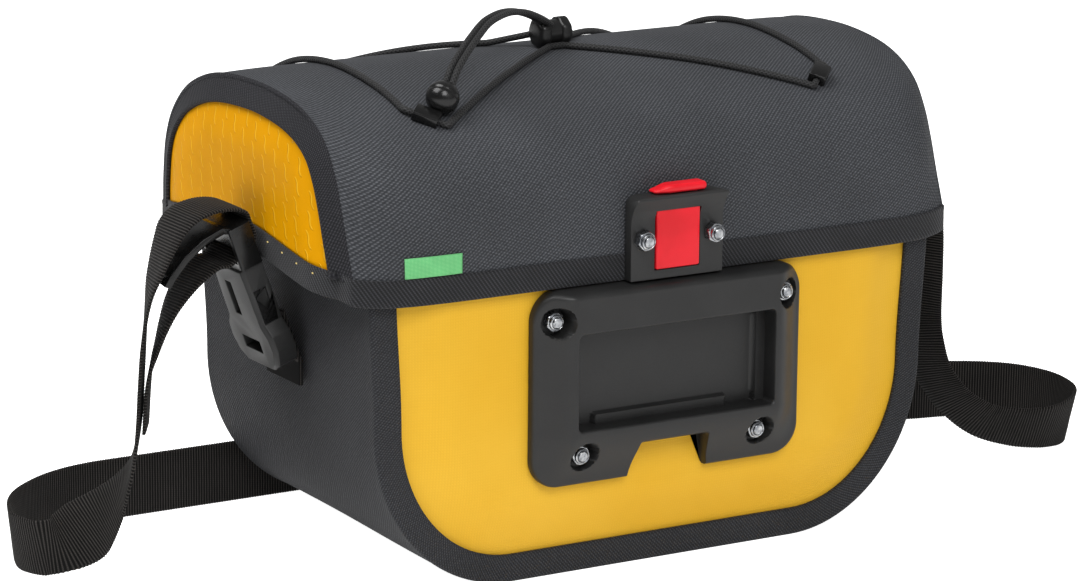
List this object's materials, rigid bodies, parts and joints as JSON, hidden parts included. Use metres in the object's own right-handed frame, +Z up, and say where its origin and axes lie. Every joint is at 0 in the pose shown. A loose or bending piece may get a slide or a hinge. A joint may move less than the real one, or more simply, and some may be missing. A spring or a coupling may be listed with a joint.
{
  "type": "bicycle handlebar bag",
  "caption": "Closed handlebar bag with a hooded lid, moulded mounting plate, sliding latch, elastic lid cord and a shoulder strap lying on the floor.",
  "frame": {"origin": "on the floor under the middle of the bag's body", "axes": "+X along the bag's width, -Y out of the side with the mounting plate, +Z up"},
  "size_m": [0.479, 0.1771, 0.2111],
  "materials": {
    "coated_cloth": "matte woven cloth with a rubbery coating, fine twill",
    "yellow_cloth": "smooth yellow tarpaulin, matte",
    "embossed_cloth": "orange yellow cloth with small embossed strokes",
    "tape": "black woven edging tape",
    "label": "bare green woven label",
    "black_plastic": "satin black moulded plastic",
    "zinc": "bright zinc plating",
    "red_plastic": "glossy red plastic",
    "elastic": "braided black elastic cord",
    "webbing": "ribbed black webbing"
  },
  "bodies": {
    "bag": {"body_gusset": "coated_cloth", "front_panel": "yellow_cloth", "rear_panel": "yellow_cloth", "lid_hood": "coated_cloth", "lid_end_left": "embossed_cloth", "lid_end_right": "embossed_cloth", "hem_tape": "tape", "lid_hinge": "coated_cloth", "side_tab": "label", "mounting_plate": "black_plastic", "plate_nut_1": "zinc", "plate_nut_2": "zinc", "plate_nut_3": "zinc", "plate_nut_4": "zinc", "latch_bracket": "black_plastic", "bracket_nut_1": "zinc", "bracket_nut_2": "zinc", "bungee_cord": "elastic", "toggle_loop": "elastic", "cord_toggle": "black_plastic", "cord_lock": "black_plastic", "cord_hook": "black_plastic", "cord_anchor_1": "black_plastic", "cord_anchor_2": "black_plastic", "cord_anchor_3": "black_plastic", "cord_anchor_4": "black_plastic", "buckle_anchor_left": "webbing", "buckle_anchor_right": "webbing", "buckle_socket_left": "black_plastic", "buckle_socket_right": "black_plastic", "buckle_clip_left": "black_plastic", "buckle_clip_right": "black_plastic", "shoulder_strap": "webbing"},
    "latch": {"red_latch": "red_plastic"}
  },
  "joints": [
    {"name": "latch_slide", "type": "slide", "parent": "bag", "child": "latch", "axis": [0, 0, 1], "range_m": [0, 0.005], "stiffness_N_per_m": 300, "springref_m": -0.004}
  ]
}
